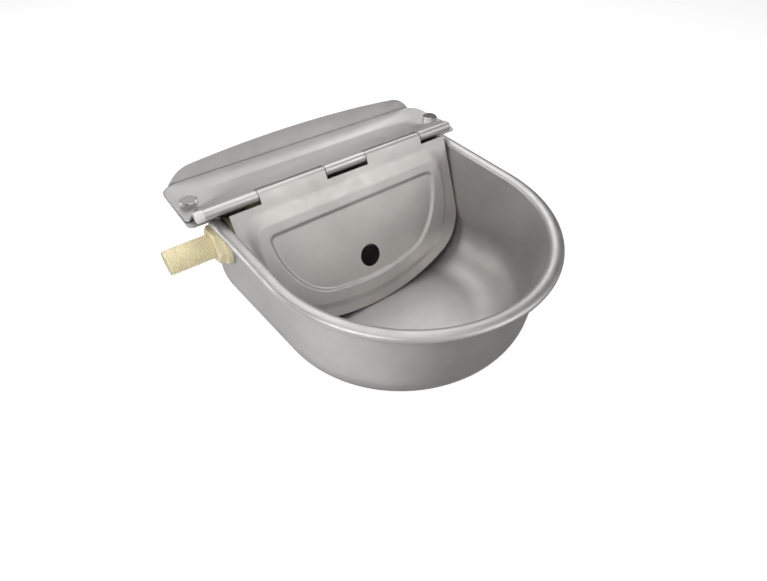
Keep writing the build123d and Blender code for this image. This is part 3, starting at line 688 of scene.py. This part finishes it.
def plate_sheet_piece():
    """The plate without its knuckles."""
    columns = plate_columns()
    rows = PLATE_ROWS
    left_end, right_end = PLATE_KNUCKLES[0][0] * MM, PLATE_KNUCKLES[-1][1] * MM
    points = []
    for thickness in (0.0, PLATE_SHEET):
        for row in range(rows):
            for x in columns:
                back = PLATE_BACK - rounded_end(x, PLATE_HALF, BACK_CORNER)
                front = EAR_FRONT + rounded_end(x, PLATE_HALF, FRONT_CORNER)
                if left_end < x < right_end:
                    front = BAND_EDGE.y
                y = mix(back, front, row / (rows - 1))
                points.append(Vector((x, y, plate_height(x, y) - thickness)))
    return new_piece("top_plate_detailed", points, sheet_faces(rows, len(columns)))


def plate_knuckle(name, low_x, high_x):
    """One rolled knuckle of the plate."""
    return rolled_knuckle(name, low_x, high_x, PLATE_UP, PLATE_FORWARD, PLATE_SHEET, BAND_END)


def make_top_plate():
    """The hinge plate: formed sheet and three knuckles rolled round the pin."""
    knuckles = [plate_knuckle(f"plate_knuckle_{a:.0f}", a * MM, b * MM) for a, b in PLATE_KNUCKLES]
    stand_for(joined(plate_sheet_piece(), knuckles), "top_plate")


make_valve_body()
for bolt_side in ("left", "right"):
    make_bolt(bolt_side)
make_cover()
make_top_plate()


# -------------------- floor, light and world
FLOOR_GAP = 1 * MM
FLOOR_Z = CAD_BOX[0][2] - FLOOR_GAP
FLOOR_HALF = 3.0
FLOOR_SHADE = 0.45
FLOOR_GLOW = 0.8
BOUNCE_BELOW = 0.5 * MM
BOUNCE_SHADE = 0.9
BACKDROP_RADIUS = 4.5
BACKDROP_GLOW = 1.0
MIDDLE = Vector((0, -0.13, 0))
LIGHT_DISTANCE = 1.2
LIGHT_SIZE = 0.6


def plain_material(name, shade, glow):
    """A matt near-white surface that may glow."""
    g = Graph(name, Roughness=0.9, Base_Color=(shade, shade, shade, 1.0))
    g.shader.inputs["Emission Color"].default_value = (1, 1, 1, 1)
    g.shader.inputs["Emission Strength"].default_value = glow
    return g.material


def seen_by(obj, camera, bounce):
    """Sets which rays meet a stage piece; nothing on the stage is mirrored in the steel."""
    obj.visible_camera = camera
    obj.visible_diffuse = bounce
    obj.visible_glossy = False
    obj.visible_shadow = bounce


def add_floor(name, below, shade, glow, camera, bounce):
    """A plain pale floor, a little below the object."""
    z = FLOOR_Z - below
    mesh = bpy.data.meshes.new(name)
    turns = ((-1, -1), (1, -1), (1, 1), (-1, 1))
    corners = [(x * FLOOR_HALF, y * FLOOR_HALF, z) for x, y in turns]
    mesh.from_pydata(corners, [], [(0, 1, 2, 3)])
    floor = bpy.data.objects.new(name, mesh)
    bpy.context.scene.collection.objects.link(floor)
    floor.data.materials.append(plain_material(name, shade, glow))
    seen_by(floor, camera, bounce)


def add_backdrop():
    """A plain white surround behind everything, seen by the camera only."""
    bpy.ops.mesh.primitive_uv_sphere_add(radius=BACKDROP_RADIUS, segments=32, ring_count=16)
    backdrop = bpy.context.object
    backdrop.name = "backdrop"
    backdrop.data.materials.append(plain_material("backdrop", 0.0, BACKDROP_GLOW))
    seen_by(backdrop, True, False)


def add_light(azimuth, elevation, power):
    """A square soft light in a direction from the bowl, in degrees from +X towards +Y and up."""
    turn, lift = math.radians(azimuth), math.radians(elevation)
    level = math.cos(lift)
    away = Vector((math.cos(turn) * level, math.sin(turn) * level, math.sin(lift)))
    data = bpy.data.lights.new(f"light_{azimuth}", "AREA")
    data.size = LIGHT_SIZE
    data.energy = power
    light = bpy.data.objects.new(f"light_{azimuth}", data)
    light.location = MIDDLE + away * LIGHT_DISTANCE
    light.rotation_euler = (-away).to_track_quat("-Z", "Y").to_euler()
    bpy.context.scene.collection.objects.link(light)


WORLD_FRONT = 0.63      # above the horizon, brightest towards the front
WORLD_BELOW = 0.19      # below the horizon
WORLD_LEFT = 1.12       # more of it there towards the left


def add_world():
    """A surround, brighter towards the front above the horizon and to the left below it."""
    world = bpy.data.worlds.new("surround")
    world.use_nodes = True
    tree = world.node_tree

    def combined(operation, first, second):
        node = tree.nodes.new("ShaderNodeMath")
        node.operation = operation
        for slot, value in enumerate((first, second)):
            if isinstance(value, float):
                node.inputs[slot].default_value = value
            else:
                tree.links.new(value, node.inputs[slot])
        return node.outputs[0]

    direction = tree.nodes.new("ShaderNodeTexCoord").outputs["Generated"]
    parts = tree.nodes.new("ShaderNodeSeparateXYZ")
    tree.links.new(direction, parts.inputs[0])
    x, y, z = parts.outputs
    front = combined("MAXIMUM", combined("MULTIPLY", y, -WORLD_FRONT), 0.0)
    left = combined("MAXIMUM", combined("MULTIPLY", x, -WORLD_LEFT), 0.0)
    above = combined("MULTIPLY", front, combined("GREATER_THAN", z, 0.0))
    below = combined("MULTIPLY", combined("ADD", left, WORLD_BELOW), combined("LESS_THAN", z, 0.0))
    tree.links.new(combined("ADD", above, below), tree.nodes["Background"].inputs["Color"])
    bpy.context.scene.world = world


add_floor("floor", 0.0, FLOOR_SHADE, FLOOR_GLOW, camera=True, bounce=False)
add_floor("floor_bounce", BOUNCE_BELOW, BOUNCE_SHADE, 0.0, camera=False, bounce=True)
add_backdrop()
add_world()
add_light(azimuth=200, elevation=45, power=5.6)      # the main light, from the left
add_light(azimuth=135, elevation=20, power=3.3)      # low, from behind on the left
add_light(azimuth=45, elevation=45, power=2.7)       # from behind on the right
add_light(azimuth=300, elevation=30, power=2.5)      # from the front on the right
add_light(azimuth=90, elevation=60, power=2.0)       # high, from the wall
add_light(azimuth=0, elevation=85, power=2.2)        # from overhead
add_light(azimuth=80, elevation=30, power=0.7)       # a little more from the wall
add_camera()
bpy.context.scene.view_settings.view_transform = "Standard"
